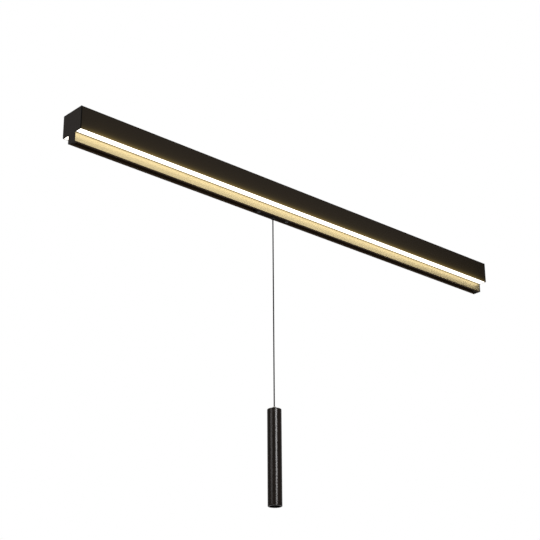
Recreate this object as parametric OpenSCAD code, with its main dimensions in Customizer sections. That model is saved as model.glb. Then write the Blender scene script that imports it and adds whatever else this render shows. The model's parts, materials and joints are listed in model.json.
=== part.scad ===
// Linear ceiling luminaire: a T-shaped bar with lit strips beside a centre track,
// and a slim cylinder spotlight on a thin cable, hung from an adapter that slides in the track.
// X runs along the bar, Y across it (the near side is -Y) and Z is up.
// The ceiling is the plane z = 0, and the origin is over the middle of the bar.

/* [Bar] */
// Length of the bar over its end caps
bar_len = 1200; // [900:10:1800]
// Width of the light box across the ceiling
box_w = 60; // [58:1:72]
// Height of the light box
box_h = 49; // [47:1:60]
// Width of the centre rib
rib_w = 21; // [20:0.5:26]
// How far the centre rib stands below the light box
rib_h = 20; // [19:0.5:26]
// Wall of the profile
wall = 1.2; // [1:0.1:1.8]
// Thickness of the end caps
cap_t = 2.5; // [2:0.5:5]
// How far the end caps' spigots reach into the profile
spigot_len = 8; // [5:1:15]
// Wall of the end caps' hollow upper spigot
spigot_wall = 2; // [1.5:0.5:4]

/* [Ceiling fixing] */
// Inner width of the recess in the bar's top
recess_w = 34; // [32:1:38]
// Width of the recess's mouth
recess_mouth_w = 26; // [22:1:28]
// Depth of the recess
recess_d = 6.5; // [5.5:0.5:8]
// Thickness of the flange that lies on the ceiling
ceiling_lip_t = 2; // [1.5:0.5:3]
// Length of a ceiling bracket
bracket_len = 40; // [20:1:80]
// Sheet thickness of the brackets
bracket_t = 1.2; // [0.8:0.1:1.6]
// How far a bracket's feet reach under the flange
bracket_foot = 3; // [2:0.5:3.5]
// Distance between the two ceiling screws
screw_spacing = 800; // [400:10:820]
// Screw hole in each bracket
screw_hole_d = 5.5; // [4:0.5:8]
// Bore of the mains cable's grommet
entry_bore_d = 8; // [6:0.5:10]
// Rubber between the grommet's bore and the profile
grommet_wall = 2; // [1.5:0.5:3]
// Thickness of the grommet's two flanges
grommet_flange_t = 1.5; // [1:0.5:2.5]

/* [Track] */
// Width of the slot in the rib
slot_w = 12; // [11.6:0.2:13]
// Inner width of the track channel above the slot's lips
channel_w = 16; // [15.5:0.1:17]
// Thickness of the slot's lips
slot_lip_t = 2.5; // [2:0.5:4]
// Height of the channel above the slot's lips
channel_h = 21.5; // [21:0.5:24]
// Thickness of the channel's roof
roof_t = 1.5; // [1:0.5:3]
// Thickness of the insulating liner under the roof
insulator_t = 3; // [2.4:0.2:4]
// How far the liner's tongues reach into the channel's walls
tongue = 0.6; // [0.3:0.1:0.9]
// Width of a conductor strip
conductor_w = 3; // [2:0.2:3.6]
// Thickness of a conductor strip
conductor_t = 1; // [0.6:0.1:1.4]
// Distance between the two conductors' centre lines
conductor_pitch = 6.4; // [6:0.1:6.5]
// Thickness of the gold side plates
trim_t = 1; // [0.6:0.1:1.2]
// Black edge left under the gold plates
trim_edge = 0.8; // [0.5:0.1:1.5]

/* [Light strips] */
// Height of the light chambers
chamber_h = 12; // [9:0.5:13]
// Thickness of the shelf over each light chamber
shelf_t = 1.5; // [1:0.5:2.5]
// Thickness of the diffuser's visible plate and of the lips that hold it
diffuser_t = 1.5; // [1:0.5:2.5]
// Thickness of the diffuser's hidden flange
diffuser_flange_t = 1.5; // [1:0.5:2.5]
// Black lip between a diffuser and the rib
strip_lip_w = 1.7; // [1.2:0.1:3]
// Ledge at the foot of the side wall
foot_w = 0.8; // [0.6:0.1:1.5]
// Width of the LED boards
led_board_w = 10; // [8:1:12]
// Thickness of the LED boards
led_board_t = 1; // [0.8:0.2:1.6]
// Distance between LEDs
led_pitch = 25; // [15:1:50]
// Length of one LED along the board
led_len = 3.5; // [2:0.5:5]
// Width of one LED
led_w = 2.8; // [2:0.2:4]
// Height of one LED
led_h = 0.7; // [0.5:0.1:1.2]

/* [Control gear] */
// Left end of the gear tray
tray_x = -70; // [-90:1:-65]
// Length of the gear tray
tray_len = 400; // [370:5:450]
// Thickness of the gear tray
tray_t = 1; // [0.8:0.2:1.5]
// Side gap beside the gear tray
tray_gap = 2; // [1:0.5:4]
// Diameter of the tray's screws
tray_screw_d = 3; // [2.5:0.5:3.5]
// Left end of the LED driver
driver_x = 40; // [30:1:55]
// Length of the LED driver
driver_len = 250; // [180:5:260]
// Width of the LED driver
driver_w = 40; // [30:1:44]
// Height of the LED driver
driver_h = 21; // [18:1:22]
// Wall of the LED driver's case
driver_wall = 1.2; // [0.8:0.1:2]
// Left end of the terminal block
terminal_x = -60; // [-62:1:-56]
// Length of the terminal block
terminal_len = 34; // [28:1:36]
// Width of the terminal block
terminal_w = 24; // [22:1:30]
// Height of the terminal block
terminal_h = 15; // [12:1:18]
// Place of the track's feed block along the bar
feed_x = 450; // [400:5:500]
// Length of the feed block
feed_len = 24; // [16:1:40]
// Height of the feed block
feed_h = 6; // [4:0.5:7]
// Diameter of the feed pins
feed_pin_d = 1.6; // [1:0.1:2]

/* [Adapter] */
// Place of the adapter along the bar
adapter_x = -77; // [-400:1:400]
// Length of the adapter
adapter_len = 100; // [98:1:140]
// Side clearance of the adapter in the slot
adapter_gap = 0.3; // [0.2:0.05:0.4]
// How far the adapter stays inside the rib's underside
adapter_inset = 0.3; // [0.2:0.1:0.6]
// Side wall of the adapter
adapter_wall = 0.8; // [0.6:0.1:0.9]
// Thickness of the adapter's floor
adapter_floor_t = 4.2; // [3.8:0.1:5]
// Thickness of the adapter's cover
cover_t = 1.5; // [1.2:0.1:2]
// How far the contact pins stand above the cover
contact_reach = 1.35; // [1.15:0.05:1.6]
// Gap between a contact pin and its conductor
contact_gap = 0.15; // [0.1:0.05:0.3]
// Diameter of the contact pins
contact_d = 2; // [1.6:0.1:2.2]
// Distance of each contact pin from the adapter's middle
contact_offset = 14; // [10:1:16]
// Distance of each locking cam from the adapter's middle
cam_offset = 40; // [39.5:0.5:41]
// Width of a locking cam
cam_w = 6; // [5:0.5:8]
// Thickness of a locking cam
cam_t = 2.8; // [2:0.2:3.4]
// Diameter of the cam spindles
spindle_d = 4; // [3:0.2:4.4]
// Diameter of the spindles' slotted heads
spindle_head_d = 7; // [6:0.5:8]

/* [Cable gland] */
// Outer diameter of the swivelling gland
gland_d = 8; // [7.8:0.1:8.6]
// How far the gland stands below the rib
gland_drop = 5; // [4:0.5:8]
// Diameter of the ball ferrule on the cable
ball_d = 6; // [5.8:0.1:6.2]
// Thickness of the gland's flange inside the adapter
gland_flange_t = 1.5; // [1:0.1:2]
// Thickness of the ring that keeps the gland in
retainer_t = 1; // [0.8:0.1:1.6]
// Diameter of the pendant cable
cable_d = 2.8; // [1.6:0.1:2.8]

/* [Pendant] */
// Distance from the rib down to the top of the tube
cable_drop = 430; // [415:5:600]
// Outer diameter of the tube
tube_d = 29.5; // [26:0.5:36]
// Length of the tube
tube_len = 200; // [190:1:300]
// Wall of the tube
tube_wall = 1.5; // [1:0.1:2]
// Diameter of the nipple that holds the cable
nipple_d = 8; // [6:0.5:10]
// How far the nipple stands above the tube
nipple_h = 6; // [4:1:12]
// Diameter of the nipple's threaded stem
stem_d = 6; // [4:0.5:6]
// Thickness of the tube's top cap
top_cap_t = 4; // [2:0.5:6]
// How far the top cap lies inside the tube's rim
top_cap_inset = 0.6; // [0.3:0.1:1.5]
// Length of the heat sink
sink_len = 56; // [40:1:70]
// Thickness of the heat sink's foot
sink_foot_t = 5; // [3:0.5:8]
// Diameter of the heat sink's core
sink_core_d = 10; // [8:0.5:14]
// Number of fins on the heat sink
sink_fins = 14; // [8:1:18]
// Thickness of a fin
sink_fin_t = 1.2; // [0.8:0.1:1.6]
// Thickness of the LED module's board
module_t = 1.6; // [1:0.1:2]
// Diameter of the LED emitter
emitter_d = 9; // [6:0.5:11]
// Thickness of the LED emitter
emitter_t = 1; // [0.6:0.1:1.4]
// Thickness of the spacer that carries the lens
spacer_t = 2.4; // [2:0.1:4]
// Thickness of the lens
lens_t = 1.5; // [1:0.1:3]
// Depth of the black baffle inside the mouth
baffle_depth = 18; // [12:1:30]
// Inner diameter of the baffle at the lens
baffle_top_d = 15; // [12:0.5:18]
// Wall of the baffle
baffle_wall = 0.8; // [0.6:0.1:1.2]
// Height of the front ring
ring_h = 4; // [3:0.5:6]
// Radial width of the front ring
ring_w = 1.5; // [1:0.1:2.5]
// Length of the converter board in the tube
converter_len = 70; // [50:1:80]
// Thickness of the converter board
converter_t = 1.2; // [1:0.1:1.6]

/* [Fits] */
// Clearance between pieces that are pushed together
fit = 0.1; // [0.05:0.05:0.15]
// Radial clearance of parts that turn or slide
play = 0.05; // [0.03:0.01:0.08]

/* [Hidden] */
$fn = 64;

// Half widths, from the middle plane outwards
box_y = box_w / 2;
inner_y = box_y - wall;
rib_y = rib_w / 2;
web_y = rib_y - trim_t;
channel_y = channel_w / 2;
slot_y = slot_w / 2;
strip_in_y = rib_y + strip_lip_w;
strip_out_y = inner_y - foot_w;
strip_mid_y = (strip_in_y + strip_out_y) / 2;
recess_y = recess_w / 2;
mouth_y = recess_mouth_w / 2;
conductor_y = conductor_pitch / 2;

// Heights, all below the ceiling
z_box = -box_h;
z_rib = z_box - rib_h;
z_lip = z_rib + slot_lip_t;
z_roof = z_lip + channel_h;
z_roof_top = z_roof + roof_t;
z_track = z_roof - insulator_t;
z_tongue = z_track + conductor_t;
tongue_h = 0.8;
z_strip = z_box + diffuser_t;
z_shelf = z_box + chamber_h;
z_gear = z_shelf + shelf_t;
z_floor = -recess_d;
z_floor_under = z_floor - wall;
z_tray = z_gear + tray_t;

// Lengths along the bar
end_x = bar_len / 2;
run_x = end_x - cap_t;
bracket_x = screw_spacing / 2;

// Mains entry
grommet_r = entry_bore_d / 2 + grommet_wall;
grommet_flange_w = 2;
grommet_flange_r = grommet_r + grommet_flange_w;

// Gear tray and its screws
tray_y = inner_y - tray_gap;
tray_screw_y = strip_in_y + 1;
tray_screw_inset = 6;
tray_screw_head_r = tray_screw_d / 2 + 1;
tray_screw_head_h = 1.6;

// LED driver, its lid and its board
driver_end_x = driver_x + driver_len;
z_driver_lid = z_tray + driver_h - driver_wall;
lid_rim_h = 1.5;
lid_rim_t = 1;
boss_h = 3;
boss_r = 2.5;
boss_inset_x = 8;
boss_inset_y = 6;
circuit_t = 1.6;
circuit_end_gap = 3;
circuit_side_gap = 1;

// Components on the driver's board, from its left end: choke, filter capacitors, transformer,
// smoothing capacitors and switching transistors
choke_x = 14;
choke_len = 16;
choke_w = 16;
capacitor_x = 48;
capacitor_pitch = 13;
capacitor_r = 5;
transformer_x = 90;
transformer_len = 28;
transformer_w = 22;
smoothing_x = 140;
transistor_x = 155;
transistor_len = 4;
transistor_w = 10;
output_y = 7;
lid_gap = 2.5;
low_part_gap = 1;

// Leads, which all leave at one height above the tray
lead_d = 2;
lead_h = 8;
lead_z = z_tray + lead_h;
mains_lead_grip = 6;
mains_lead_pitch = 4;
mains_lead_rise = 3;
mains_lead_reach = 20;
track_lead_y = 4;
track_lead_reach = 40;
feed_lead_y = 3;
strip_lead_inset = 4;
strip_lead_reach = 6;
strip_lead_x = driver_end_x + 24;
strip_lead_hole_r = lead_d / 2 + 1;
feed_hole_gap = 1.2;

// Terminal block
pole_pitch = 7;
pole_bore_d = lead_d + 0.4;
terminal_screw_d = 3;
terminal_screw_drop = 0.5;

// Adapter
adapter_w = slot_w - 2 * adapter_gap;
adapter_y = adapter_w / 2;
z_adapter = z_rib + adapter_inset;
z_adapter_floor = z_adapter + adapter_floor_t;
z_contact = z_track - contact_gap;
z_cover_top = z_contact - contact_reach;
z_cover = z_cover_top - cover_t;
cavity_x = 30;
ledge = 2;
board_room = 7;
adapter_board_t = 1;
z_adapter_board = z_cover - board_room;
socket_x = 22;
socket_len = 7;
socket_w = 6;
socket_h = 3.5;
socket_floor = 1;
socket_pitch = 2.4;
socket_hole_r = 0.6;
cover_screw_r = 0.8;
cover_screw_len = 6;
cover_screw_head_r = 1.7;
cover_screw_head_h = 0.8;
cover_screw_inset = 4;
cover_screw_x = adapter_len / 2 - cover_screw_inset;

// Locking cams, which lie just above the slot's lips
lip_gap = 0.3;
cam_gap = 0.15;
cam_side_gap = 0.4;
cam_r = channel_y - cam_side_gap;
z_cam = z_lip + lip_gap;
z_cam_top = z_cam + cam_t;
spindle_end_h = 2.4;
z_spindle_top = z_cam_top + spindle_end_h;
spindle_head_h = 1.15;
spindle_slot_inset = 1;
press_gap = 0.02;
slot_cut_w = 0.8;
slot_cut_h = 0.6;

// Contact pins, their barrels and springs
contact_r = contact_d / 2;
collar_step = 0.2;
collar_r = contact_r + collar_step;
collar_h = 0.8;
barrel_in_r = collar_r + play;
barrel_wall = 0.25;
barrel_out_r = barrel_in_r + barrel_wall;
barrel_floor_t = 0.4;
barrel_gap = 1;
z_barrel = z_adapter_board + adapter_board_t;
z_spring = z_barrel + barrel_floor_t;
spring_room = 2.1;
z_collar = z_spring + spring_room;
spring_wire_d = 0.25;
spring_turns = 4;
spring_rings = 8;
spring_sides = 6;

// Swivelling gland, with the ball ferrule in its seat
pocket_wall = 0.6;
pocket_r = adapter_y - pocket_wall;
end_gap = 0.1;
gland_flange_r = pocket_r - end_gap;
gland_r = gland_d / 2;
z_gland_flange = z_adapter_floor + end_gap;
z_retainer = z_gland_flange + gland_flange_t + end_gap;
z_gland_end = z_rib - gland_drop;
ball_rise = 2.6;
z_ball = z_gland_end + ball_rise;
ball_r = ball_d / 2;
seat_r = ball_r + play;
retainer_bore_gap = 0.5;
swing_room = 1.3;
neck_r = cable_d / 2 + swing_room;
gland_mouth_r = neck_r + 0.55;
gland_mouth_cut = 0.5;
gland_tip_r = neck_r + 0.9;
gland_tip_h = 1.2;
ferrule_wall = 0.1;
ferrule_neck_r = cable_d / 2 + ferrule_wall;
ferrule_neck_drop = 1;
z_ferrule = z_gland_end - ferrule_neck_drop;

// Height of the tube's top and of the nipple on it
z_tube = z_rib - cable_drop;
z_nipple = z_tube + nipple_h;

// Cable: points of its straight route below the adapter's middle, from the ferrule to the nipple,
// where its two ends follow those pieces
cable_route = [
    [0, 0, z_ferrule], [0, 0, -97], [0, 0, -119], [0, 0, -141], [0, 0, -163],
    [0, 0, -185], [0, 0, -207], [0, 0, -229], [0, 0, -251], [0, 0, -273],
    [0, 0, -295], [0, 0, -317], [0, 0, -339], [0, 0, -361], [0, 0, -383],
    [0, 0, -405], [0, 0, -427], [0, 0, -449], [0, 0, -471], [0, 0, z_nipple]
];
rings_per_step = 4;

// Tube of the pendant and what it holds, from its mouth upwards
tube_r = tube_d / 2;
bore_r = tube_r - tube_wall;
load_r = bore_r - fit;
z_mouth = z_tube - tube_len;
z_ring_top = z_mouth + ring_h;
z_lens = z_ring_top + baffle_depth;
z_spacer = z_lens + lens_t;
z_module = z_spacer + spacer_t;
z_sink = z_module + module_t;
z_sink_top = z_sink + sink_len;
z_top_cap = z_tube - top_cap_inset;
nut_af = 10;
nut_h = 3;
stem_end = 3;
stem_len = top_cap_t + nut_h + stem_end;
nipple_taper_h = 2;
nipple_rim = 0.6;
sink_gap = 0.2;
module_gap = 0.3;
ring_r = load_r - ring_w;
baffle_flange_t = 1.5;
lens_rim = 2;
lens_r = baffle_top_d / 2 + lens_rim;
emitter_gap = 1;
spacer_in_r = emitter_d / 2 + emitter_gap;

// Parts on the converter board, by their height over the heat sink: coil, chip and two capacitors
coil_z = 8;
coil_len = 12;
coil_w = 12;
coil_t = 6;
chip_z = 26;
chip_len = 8;
chip_w = 8;
chip_t = 2.5;
tank_z = 38;
tank_len = 8;
tank_w = 6;
tank_t = 5;
tank_y = 4;

// A rectangle of the cross-section, between two places in Y and two heights
module area(y0, y1, z0, z1) {
    translate([y0, z0]) square([y1 - y0, z1 - z0]);
}

// The same rectangle across the middle plane
module wide(y, z0, z1) {
    area(-y, y, z0, z1);
}

// A shape of the cross-section and its mirror image
module both() {
    children();
    mirror([1, 0]) children();
}

// A piece and its mirror image on the other side of the bar's middle plane
module both_sides() {
    children();
    mirror([0, 1, 0]) children();
}

// Runs a cross-section along the bar from x0 to x1
module run(x0, x1) {
    translate([x0, 0, 0]) rotate([90, 0, 90]) linear_extrude(x1 - x0) children();
}

// A block between two corners
module block(low, high) {
    translate(low) cube(high - low);
}

// An upright cylinder from z0 to z1
module rod(x, y, z0, z1, r) {
    translate([x, y, z0]) cylinder(h = z1 - z0, r = r);
}

// A turned piece round an upright axis, from its half outline in radius and height
module turned(x, y, outline) {
    translate([x, y, 0]) rotate_extrude() polygon(outline);
}

// A tube of n sides swept through points; side points away from every stretch of it
function unit(v) = v / norm(v);
function heading(p, i) = unit(p[min(i + 1, len(p) - 1)] - p[max(i - 1, 0)]);
function ring(c, t, side, r, n) = let (a = unit(cross(t, side)), b = cross(a, t))
    [for (k = [0:n - 1]) c + r * (cos(360 * k / n) * a + sin(360 * k / n) * b)];
module swept(p, r, side, n = 8) {
    last = len(p) - 1;
    points = [for (i = [0:last]) each ring(p[i], heading(p, i), side, r, n)];
    skin = [for (i = [0:last - 1], k = [0:n - 1]) let (a = i * n + k, b = i * n + (k + 1) % n)
        each [[a, b, b + n], [a, b + n, a + n]]];
    first_end = [for (k = [1:n - 2]) [0, k + 1, k]];
    last_end = [for (k = [1:n - 2]) [last * n, last * n + k, last * n + k + 1]];
    polyhedron(points, concat(skin, first_end, last_end));
}

// Points of a lead from a to b, straight along X at a and along the direction out at b
function bezier(a, b, c, d, t) =
    pow(1 - t, 3) * a + 3 * t * pow(1 - t, 2) * b + 3 * t * t * (1 - t) * c + pow(t, 3) * d;
function lead(a, b, out, reach, n = 12) =
    let (a1 = a + [lead_d, 0, 0], b1 = b - out * lead_d)
    concat([a], [for (i = [0:n]) bezier(a1, a1 + [reach, 0, 0], b1 - out * reach, b1, i / n)], [b]);

// Outline of the whole bar seen from its end
module bar_outline() {
    wide(box_y, z_box, 0);
    wide(rib_y, z_rib, z_box);
}

module profile_section() {
    difference() {
        bar_outline();
        // Space for the control gear, round the recess in the top
        difference() {
            wide(inner_y, z_gear, -ceiling_lip_t);
            wide(recess_y + wall, z_floor_under, 0);
        }
        // Recess for the ceiling brackets and its mouth
        wide(recess_y, z_floor, -ceiling_lip_t);
        wide(mouth_y, -ceiling_lip_t, 1);
        // Space over the track, track channel, grooves for the liner and slot
        wide(channel_y, z_roof_top, z_gear);
        wide(channel_y, z_lip, z_roof);
        wide(channel_y + tongue, z_tongue, z_tongue + tongue_h);
        wide(slot_y, z_rib - 1, z_lip);
        // Light chambers, their mouths, and the seats of the gold plates
        both() {
            area(rib_y, inner_y, z_strip, z_shelf);
            area(strip_in_y, strip_out_y, z_box - 1, z_strip);
            area(web_y, rib_y + 1, z_rib + trim_edge, z_box);
        }
    }
}

module housing_profile() {
    color([0.13, 0.12, 0.11]) difference() {
        run(-run_x, run_x) profile_section();
        rod(0, 0, z_floor_under - 1, z_floor + 1, grommet_r);
        for (x = [tray_x + tray_screw_inset, tray_x + tray_len - tray_screw_inset])
            for (y = [-tray_screw_y, tray_screw_y])
                rod(x, y, z_shelf - 1, z_gear + 1, tray_screw_d / 2);
        for (y = [-conductor_y, conductor_y])
            rod(feed_x, y, z_roof - 1, z_roof_top + 1, feed_pin_d / 2 + feed_hole_gap);
        for (y = [-strip_mid_y, strip_mid_y])
            rod(strip_lead_x, y, z_shelf - 1, z_gear + 1, strip_lead_hole_r);
    }
}

// Plate over the end of the bar, with one spigot in the gear space and one in the track
module end_cap() {
    color([0.16, 0.15, 0.14]) {
        run(-end_x, -run_x) bar_outline();
        run(-run_x, -run_x + spigot_len) {
            difference() {
                wide(inner_y - fit, z_gear + fit, z_floor_under - fit);
                wide(inner_y - fit - spigot_wall, z_gear + fit + spigot_wall,
                    z_floor_under - fit - spigot_wall);
            }
            wide(channel_y - fit, z_lip + fit, z_track - fit);
        }
    }
}

module end_cap_left() {
    end_cap();
}

module end_cap_right() {
    mirror([1, 0, 0]) end_cap();
}

// Opal strip whose flange lies on the lip beside the rib and on the side wall's ledge
module diffuser() {
    color([0.97, 0.96, 0.93]) run(-run_x + fit, run_x - fit) {
        area(strip_in_y + fit, strip_out_y - fit, z_box, z_strip);
        area(rib_y + fit, inner_y - fit, z_strip, z_strip + diffuser_flange_t);
    }
}

module diffuser_front() {
    mirror([0, 1, 0]) diffuser();
}

module diffuser_rear() {
    diffuser();
}

// Gold plate on the side of the rib
module gold_trim() {
    color([0.86, 0.74, 0.5]) run(-run_x, run_x) area(web_y, rib_y, z_rib + trim_edge, z_box);
}

module gold_trim_front() {
    mirror([0, 1, 0]) gold_trim();
}

module gold_trim_rear() {
    gold_trim();
}

module led_board() {
    color([0.93, 0.94, 0.92]) run(-run_x + spigot_len, run_x - spigot_len)
        area(strip_mid_y - led_board_w / 2, strip_mid_y + led_board_w / 2,
            z_shelf - led_board_t, z_shelf);
}

module led_board_front() {
    mirror([0, 1, 0]) led_board();
}

module led_board_rear() {
    led_board();
}

// LEDs under one board, from the middle outwards at equal pitch
module led_row() {
    half_count = floor((run_x - spigot_len - led_pitch / 2) / led_pitch);
    z = z_shelf - led_board_t;
    color([0.98, 0.87, 0.45]) for (i = [-half_count:half_count])
        block([i * led_pitch - led_len / 2, strip_mid_y - led_w / 2, z - led_h],
            [i * led_pitch + led_len / 2, strip_mid_y + led_w / 2, z]);
}

module led_row_front() {
    mirror([0, 1, 0]) led_row();
}

module led_row_rear() {
    led_row();
}

// Liner under the channel's roof, with a groove for each conductor and bores for the feed pins
module track_insulator() {
    color([0.2, 0.2, 0.21]) difference() {
        run(-run_x, run_x) {
            wide(channel_y - fit, z_track, z_roof);
            wide(channel_y + tongue - fit, z_tongue, z_tongue + tongue_h);
        }
        run(-run_x - 1, run_x + 1) both()
            area(conductor_y - conductor_w / 2, conductor_y + conductor_w / 2,
                z_track - 1, z_track + conductor_t);
        for (y = [-conductor_y, conductor_y])
            rod(feed_x, y, z_track, z_roof + 1, feed_pin_d / 2);
    }
}

module conductor() {
    color([0.8, 0.48, 0.3]) run(-run_x + spigot_len, run_x - spigot_len)
        area(conductor_y - conductor_w / 2, conductor_y + conductor_w / 2,
            z_track, z_track + conductor_t);
}

module conductor_front() {
    mirror([0, 1, 0]) conductor();
}

module conductor_rear() {
    conductor();
}

// Block on the channel's roof that holds the two feed pins
module track_feed_block() {
    color([0.85, 0.85, 0.82]) difference() {
        block([feed_x - feed_len / 2, -channel_y + fit, z_roof_top],
            [feed_x + feed_len / 2, channel_y - fit, z_roof_top + feed_h]);
        for (y = [-conductor_y, conductor_y])
            rod(feed_x, y, z_roof_top - 1, z_roof_top + feed_h + 1, feed_pin_d / 2);
    }
}

module feed_pins() {
    color([0.85, 0.7, 0.35]) for (y = [-conductor_y, conductor_y])
        rod(feed_x, y, z_track + conductor_t, z_roof_top + feed_h, feed_pin_d / 2);
}

// Sheet clip in the recess: a plate on the ceiling, with feet under the flange
module bracket(x) {
    leg_y = mouth_y - fit;
    z_foot = -ceiling_lip_t - bracket_t;
    color([0.72, 0.73, 0.75]) difference() {
        run(x - bracket_len / 2, x + bracket_len / 2) {
            wide(leg_y, -bracket_t, 0);
            both() {
                area(leg_y - bracket_t, leg_y, z_foot, 0);
                area(leg_y - bracket_t, mouth_y + bracket_foot, z_foot, -ceiling_lip_t);
            }
        }
        rod(x, 0, -bracket_t - 1, 1, screw_hole_d / 2);
    }
}

module bracket_left() {
    bracket(-bracket_x);
}

module bracket_right() {
    bracket(bracket_x);
}

// Rubber ring in the recess's floor, where the mains cable comes in
module entry_grommet() {
    r = entry_bore_d / 2;
    color([0.1, 0.1, 0.1]) turned(0, 0, [
        [r, z_floor_under - grommet_flange_t], [grommet_flange_r, z_floor_under - grommet_flange_t],
        [grommet_flange_r, z_floor_under], [grommet_r, z_floor_under], [grommet_r, z_floor],
        [grommet_flange_r, z_floor], [grommet_flange_r, z_floor + grommet_flange_t],
        [r, z_floor + grommet_flange_t]
    ]);
}

// Sheet across both shelves that carries the driver and the terminal block
module gear_tray() {
    color([0.75, 0.76, 0.78]) difference() {
        block([tray_x, -tray_y, z_gear], [tray_x + tray_len, tray_y, z_tray]);
        for (x = [tray_x + tray_screw_inset, tray_x + tray_len - tray_screw_inset])
            for (y = [-tray_screw_y, tray_screw_y])
                rod(x, y, z_gear - 1, z_tray + 1, tray_screw_d / 2 + fit);
        for (y = [-strip_mid_y, strip_mid_y])
            rod(strip_lead_x, y, z_gear - 1, z_tray + 1, strip_lead_hole_r);
    }
}

module tray_screws() {
    color([0.8, 0.8, 0.78])
        for (x = [tray_x + tray_screw_inset, tray_x + tray_len - tray_screw_inset])
            for (y = [-tray_screw_y, tray_screw_y]) {
                rod(x, y, z_shelf, z_tray, tray_screw_d / 2);
                rod(x, y, z_tray, z_tray + tray_screw_head_h, tray_screw_head_r);
            }
}

// Open case of the driver, with four bosses under its board
module driver_case() {
    y = driver_w / 2;
    color([0.88, 0.89, 0.9]) {
        difference() {
            block([driver_x, -y, z_tray], [driver_end_x, y, z_driver_lid]);
            block([driver_x + driver_wall, -y + driver_wall, z_tray + driver_wall],
                [driver_end_x - driver_wall, y - driver_wall, z_driver_lid + 1]);
        }
        for (x = [driver_x + boss_inset_x, driver_end_x - boss_inset_x])
            for (s = [-1, 1])
                rod(x, s * (y - boss_inset_y), z_tray + driver_wall, z_tray + driver_wall + boss_h,
                    boss_r);
    }
}

module driver_lid() {
    y = driver_w / 2;
    rim = driver_wall + fit;
    bore = rim + lid_rim_t;
    color([0.93, 0.93, 0.94]) {
        block([driver_x, -y, z_driver_lid], [driver_end_x, y, z_driver_lid + driver_wall]);
        difference() {
            block([driver_x + rim, -y + rim, z_driver_lid - lid_rim_h],
                [driver_end_x - rim, y - rim, z_driver_lid]);
            block([driver_x + bore, -y + bore, z_driver_lid - lid_rim_h - 1],
                [driver_end_x - bore, y - bore, z_driver_lid]);
        }
    }
}

module driver_board() {
    y = driver_w / 2 - driver_wall - circuit_side_gap;
    z = z_tray + driver_wall + boss_h;
    color([0.1, 0.38, 0.2]) block([driver_x + circuit_end_gap, -y, z],
        [driver_end_x - circuit_end_gap, y, z + circuit_t]);
}

// A block on the driver's board, x from its left end and centred on y
module board_block(x, y, l, w, top) {
    translate([driver_x + x, y - w / 2, z_driver_parts()]) cube([l, w, top - z_driver_parts()]);
}

function z_driver_parts() = z_tray + driver_wall + boss_h + circuit_t;

module driver_components() {
    z = z_driver_parts();
    top = z_driver_lid - lid_gap;
    color([0.2, 0.2, 0.22]) {
        board_block(choke_x, 0, choke_len, choke_w, top);
        board_block(transformer_x, 0, transformer_len, transformer_w, top);
        for (i = [0:2])
            rod(driver_x + capacitor_x + i * capacitor_pitch, 0, z, top, capacitor_r);
        for (y = [-output_y, output_y]) {
            rod(driver_x + smoothing_x, y, z, top - low_part_gap, capacitor_r);
            board_block(transistor_x, y, transistor_len, transistor_w, top - low_part_gap);
        }
    }
}

module terminal_block() {
    y = terminal_w / 2;
    color([0.9, 0.9, 0.86]) difference() {
        block([terminal_x, -y, z_tray], [terminal_x + terminal_len, y, z_tray + terminal_h]);
        for (i = [-1:1]) {
            translate([terminal_x - 1, i * pole_pitch, lead_z]) rotate([0, 90, 0])
                cylinder(h = terminal_len + 2, d = pole_bore_d);
            rod(terminal_x + terminal_len / 2, i * pole_pitch, lead_z,
                z_tray + terminal_h + 1, terminal_screw_d / 2);
        }
    }
}

module terminal_screws() {
    x = terminal_x + terminal_len / 2;
    top = z_tray + terminal_h - terminal_screw_drop;
    color([0.8, 0.7, 0.4]) for (y = [-pole_pitch, 0, pole_pitch]) difference() {
        rod(x, y, lead_z + pole_bore_d / 2, top, terminal_screw_d / 2);
        block([x - terminal_screw_d, y - slot_cut_w / 2, top - slot_cut_h],
            [x + terminal_screw_d, y + slot_cut_w / 2, top + 1]);
    }
}

// Three mains leads from the terminal block to the driver
module mains_leads() {
    x = terminal_x + terminal_len - mains_lead_grip;
    color([0.45, 0.3, 0.2]) for (i = [-1:1])
        swept(lead([x, i * pole_pitch, lead_z],
            [driver_x, i * mains_lead_pitch, lead_z + mains_lead_rise], [1, 0, 0],
            mains_lead_reach), lead_d / 2, [0, 1, 0]);
}

// Two leads from the driver, straight over the tray's end and then down to the feed block
module track_leads() {
    feed = [feed_x - feed_len / 2, feed_lead_y, z_roof_top + feed_h / 2];
    color([0.7, 0.1, 0.1]) both_sides()
        swept(concat([[driver_end_x, track_lead_y, lead_z]],
            lead([tray_x + tray_len, track_lead_y, lead_z], feed, [1, 0, 0], track_lead_reach)),
            lead_d / 2, [0, 1, 0]);
}

// One lead from the driver down through each shelf to its LED board
module strip_leads() {
    color([0.9, 0.9, 0.9]) both_sides()
        swept(lead([driver_end_x, driver_w / 2 - strip_lead_inset, lead_z],
            [strip_lead_x, strip_mid_y, z_shelf], [0, 0, -1], strip_lead_reach),
            lead_d / 2, [0, 1, 0]);
}

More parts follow.
